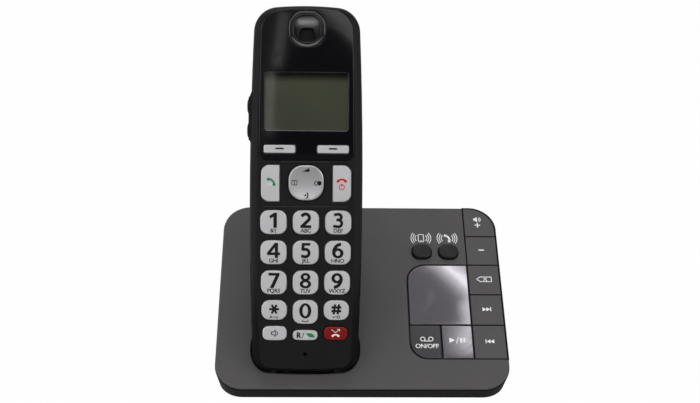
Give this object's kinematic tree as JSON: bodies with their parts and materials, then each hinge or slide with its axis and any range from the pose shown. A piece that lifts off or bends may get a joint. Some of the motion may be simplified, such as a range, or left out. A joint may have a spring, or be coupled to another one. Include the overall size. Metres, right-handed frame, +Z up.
{
  "type": "cordless telephone with base",
  "caption": "Cordless telephone handset reclining in a wedge-shaped answering-machine base with a key panel and message window at its right.",
  "frame": {"origin": "on the table surface, under the middle of the whole object's width and depth", "axes": "+Z up, +X to the user's right along the base's front edge, +Y away from the user"},
  "size_m": [0.145, 0.1263, 0.1566],
  "materials": {
    "base_top_plastic": "fine satin texture, warm dark grey",
    "base_lower_plastic": "satin, dark grey",
    "handset_front_plastic": "fine satin texture, near black",
    "handset_rear_plastic": "fine satin texture, near black",
    "panel_gloss": "high gloss black",
    "window_clear": "clear, glossy",
    "lcd_face": "olive grey liquid-crystal panel, off",
    "bezel_gloss": "black gloss",
    "smoky_gloss": "smoked gloss plastic",
    "base_key_plastic": "fine satin texture, warm dark grey",
    "key_silver": "silver-grey lacquer",
    "nav_silver": "brighter silver lacquer",
    "key_red": "red lacquer",
    "smoky_mirror": "smoked half-mirror plastic",
    "soft_rubber": "soft matt rubber",
    "board_green": "solder-masked board",
    "inner_black": "moulded inner part",
    "speaker_cone": "paper and plastic cone in a dark frame",
    "contact_metal": "nickel-plated spring metal",
    "screw_steel": "zinc-plated steel",
    "cell_sleeve": "plain shrink sleeve",
    "legend_white": "white print",
    "legend_black": "black print",
    "legend_green": "green print",
    "legend_red": "red print"
  },
  "bodies": {
    "base": {"base_housing": "base_lower_plastic", "base_top_cover": "base_top_plastic", "base_boards": "board_green", "base_key_mat": "soft_rubber", "message_window": "smoky_mirror", "message_display": "inner_black", "base_speaker": "speaker_cone", "line_jack": "inner_black", "power_jack": "inner_black", "rubber_feet": "soft_rubber", "base_screws": "screw_steel"},
    "handset": {"handset_front_shell": "handset_front_plastic", "handset_rear_shell": "handset_rear_plastic", "display_panel": "panel_gloss", "display_window": "window_clear", "earpiece_bezel": "bezel_gloss", "lcd_module": "lcd_face", "handset_board": "board_green", "keypad_mat": "soft_rubber", "earpiece_speaker": "speaker_cone", "microphone": "speaker_cone", "handset_speaker": "speaker_cone", "battery_cells": "cell_sleeve", "battery_contacts": "contact_metal", "handset_terminals": "contact_metal", "handset_screws": "screw_steel"},
    "battery_cover": {"battery_cover": "handset_rear_plastic"},
    "nav_carrier": {"nav_carrier": "inner_black"},
    "nav_key": {"nav_key": "nav_silver"},
    "side_rocker": {"side_rocker": "handset_rear_plastic"},
    "key_1": {"key_1": "key_silver"},
    "key_2": {"key_2": "key_silver"},
    "key_3": {"key_3": "key_silver"},
    "key_4": {"key_4": "key_silver"},
    "key_5": {"key_5": "key_silver"},
    "key_6": {"key_6": "key_silver"},
    "key_7": {"key_7": "key_silver"},
    "key_8": {"key_8": "key_silver"},
    "key_9": {"key_9": "key_silver"},
    "key_star": {"key_star": "key_silver"},
    "key_0": {"key_0": "key_silver"},
    "key_hash": {"key_hash": "key_silver"},
    "speaker_key": {"speaker_key": "key_silver"},
    "recall_key": {"recall_key": "key_silver"},
    "block_key": {"block_key": "key_red"},
    "talk_key": {"talk_key": "key_silver"},
    "off_key": {"off_key": "key_silver"},
    "soft_key_left": {"soft_key_left": "key_silver"},
    "soft_key_right": {"soft_key_right": "key_silver"},
    "volume_up_key": {"volume_up_key": "base_key_plastic"},
    "volume_down_key": {"volume_down_key": "base_key_plastic"},
    "erase_key": {"erase_key": "base_key_plastic"},
    "skip_forward_key": {"skip_forward_key": "base_key_plastic"},
    "skip_back_key": {"skip_back_key": "base_key_plastic"},
    "answer_key": {"answer_key": "smoky_gloss"},
    "play_key": {"play_key": "smoky_mirror"},
    "locator_key_left": {"locator_key_left": "soft_rubber"},
    "locator_key_right": {"locator_key_right": "soft_rubber"},
    "charge_contact_left": {"charge_contact_left": "contact_metal"},
    "charge_contact_right": {"charge_contact_right": "contact_metal"}
  },
  "joints": [
    {"name": "handset_lift", "type": "slide", "parent": "base", "child": "handset", "axis": [0, 0.5878, 0.809], "range_m": [0, 0.2]},
    {"name": "battery_cover_off", "type": "slide", "parent": "handset", "child": "battery_cover", "axis": [0, 0.809, -0.5878], "range_m": [0, 0.12]},
    {"name": "nav_up_down", "type": "hinge", "parent": "handset", "child": "nav_carrier", "pos_m": [-0.0283, -0.00117, 0.08659], "axis": [1, 0, 0], "range_deg": [-2, 2], "stiffness_Nm_per_rad": 0.3},
    {"name": "nav_left_right", "type": "hinge", "parent": "nav_carrier", "child": "nav_key", "pos_m": [-0.0283, -0.00311, 0.088], "axis": [0, 0.5878, 0.809], "range_deg": [-2, 2], "stiffness_Nm_per_rad": 0.3},
    {"name": "side_rocker_tilt", "type": "hinge", "parent": "handset", "child": "side_rocker", "pos_m": [-0.05284, 0.01975, 0.10977], "axis": [0, -0.809, 0.5878], "range_deg": [-2.5, 2.5], "stiffness_Nm_per_rad": 0.3},
    {"name": "key_1_press", "type": "slide", "parent": "handset", "child": "key_1", "axis": [0, 0.809, -0.5878], "range_m": [0, 0.0006], "stiffness_N_per_m": 1000},
    {"name": "key_2_press", "type": "slide", "parent": "handset", "child": "key_2", "axis": [0, 0.809, -0.5878], "range_m": [0, 0.0006], "stiffness_N_per_m": 1000},
    {"name": "key_3_press", "type": "slide", "parent": "handset", "child": "key_3", "axis": [0, 0.809, -0.5878], "range_m": [0, 0.0006], "stiffness_N_per_m": 1000},
    {"name": "key_4_press", "type": "slide", "parent": "handset", "child": "key_4", "axis": [0, 0.809, -0.5878], "range_m": [0, 0.0006], "stiffness_N_per_m": 1000},
    {"name": "key_5_press", "type": "slide", "parent": "handset", "child": "key_5", "axis": [0, 0.809, -0.5878], "range_m": [0, 0.0006], "stiffness_N_per_m": 1000},
    {"name": "key_6_press", "type": "slide", "parent": "handset", "child": "key_6", "axis": [0, 0.809, -0.5878], "range_m": [0, 0.0006], "stiffness_N_per_m": 1000},
    {"name": "key_7_press", "type": "slide", "parent": "handset", "child": "key_7", "axis": [0, 0.809, -0.5878], "range_m": [0, 0.0006], "stiffness_N_per_m": 1000},
    {"name": "key_8_press", "type": "slide", "parent": "handset", "child": "key_8", "axis": [0, 0.809, -0.5878], "range_m": [0, 0.0006], "stiffness_N_per_m": 1000},
    {"name": "key_9_press", "type": "slide", "parent": "handset", "child": "key_9", "axis": [0, 0.809, -0.5878], "range_m": [0, 0.0006], "stiffness_N_per_m": 1000},
    {"name": "key_star_press", "type": "slide", "parent": "handset", "child": "key_star", "axis": [0, 0.809, -0.5878], "range_m": [0, 0.0006], "stiffness_N_per_m": 1000},
    {"name": "key_0_press", "type": "slide", "parent": "handset", "child": "key_0", "axis": [0, 0.809, -0.5878], "range_m": [0, 0.0006], "stiffness_N_per_m": 1000},
    {"name": "key_hash_press", "type": "slide", "parent": "handset", "child": "key_hash", "axis": [0, 0.809, -0.5878], "range_m": [0, 0.0006], "stiffness_N_per_m": 1000},
    {"name": "speaker_key_press", "type": "slide", "parent": "handset", "child": "speaker_key", "axis": [0, 0.809, -0.5878], "range_m": [0, 0.0006], "stiffness_N_per_m": 1000},
    {"name": "recall_key_press", "type": "slide", "parent": "handset", "child": "recall_key", "axis": [0, 0.809, -0.5878], "range_m": [0, 0.0006], "stiffness_N_per_m": 1000},
    {"name": "block_key_press", "type": "slide", "parent": "handset", "child": "block_key", "axis": [0, 0.809, -0.5878], "range_m": [0, 0.0006], "stiffness_N_per_m": 1000},
    {"name": "talk_key_press", "type": "slide", "parent": "handset", "child": "talk_key", "axis": [0, 0.809, -0.5878], "range_m": [0, 0.0006], "stiffness_N_per_m": 1000},
    {"name": "off_key_press", "type": "slide", "parent": "handset", "child": "off_key", "axis": [0, 0.809, -0.5878], "range_m": [0, 0.0006], "stiffness_N_per_m": 1000},
    {"name": "soft_key_left_press", "type": "slide", "parent": "handset", "child": "soft_key_left", "axis": [0, 0.809, -0.5878], "range_m": [0, 0.0006], "stiffness_N_per_m": 1000},
    {"name": "soft_key_right_press", "type": "slide", "parent": "handset", "child": "soft_key_right", "axis": [0, 0.809, -0.5878], "range_m": [0, 0.0006], "stiffness_N_per_m": 1000},
    {"name": "volume_up_key_press", "type": "slide", "parent": "base", "child": "volume_up_key", "axis": [0, 0.3007, -0.9537], "range_m": [0, 0.0007], "stiffness_N_per_m": 1000},
    {"name": "volume_down_key_press", "type": "slide", "parent": "base", "child": "volume_down_key", "axis": [0, 0.3007, -0.9537], "range_m": [0, 0.0007], "stiffness_N_per_m": 1000},
    {"name": "erase_key_press", "type": "slide", "parent": "base", "child": "erase_key", "axis": [0, 0.3007, -0.9537], "range_m": [0, 0.0007], "stiffness_N_per_m": 1000},
    {"name": "skip_forward_key_press", "type": "slide", "parent": "base", "child": "skip_forward_key", "axis": [0, 0.3007, -0.9537], "range_m": [0, 0.0007], "stiffness_N_per_m": 1000},
    {"name": "skip_back_key_press", "type": "slide", "parent": "base", "child": "skip_back_key", "axis": [0, 0.3007, -0.9537], "range_m": [0, 0.0007], "stiffness_N_per_m": 1000},
    {"name": "answer_key_press", "type": "slide", "parent": "base", "child": "answer_key", "axis": [0, 0.3007, -0.9537], "range_m": [0, 0.0007], "stiffness_N_per_m": 1000},
    {"name": "play_key_press", "type": "slide", "parent": "base", "child": "play_key", "axis": [0, 0.3007, -0.9537], "range_m": [0, 0.0007], "stiffness_N_per_m": 1000},
    {"name": "locator_key_left_press", "type": "slide", "parent": "base", "child": "locator_key_left", "axis": [0, 0.3007, -0.9537], "range_m": [0, 0.0007], "stiffness_N_per_m": 1000},
    {"name": "locator_key_right_press", "type": "slide", "parent": "base", "child": "locator_key_right", "axis": [0, 0.3007, -0.9537], "range_m": [0, 0.0007], "stiffness_N_per_m": 1000},
    {"name": "charge_contact_left_spring", "type": "slide", "parent": "base", "child": "charge_contact_left", "axis": [0, -0.5878, -0.809], "range_m": [0, 0.0005], "stiffness_N_per_m": 600},
    {"name": "charge_contact_right_spring", "type": "slide", "parent": "base", "child": "charge_contact_right", "axis": [0, -0.5878, -0.809], "range_m": [0, 0.0005], "stiffness_N_per_m": 600}
  ]
}
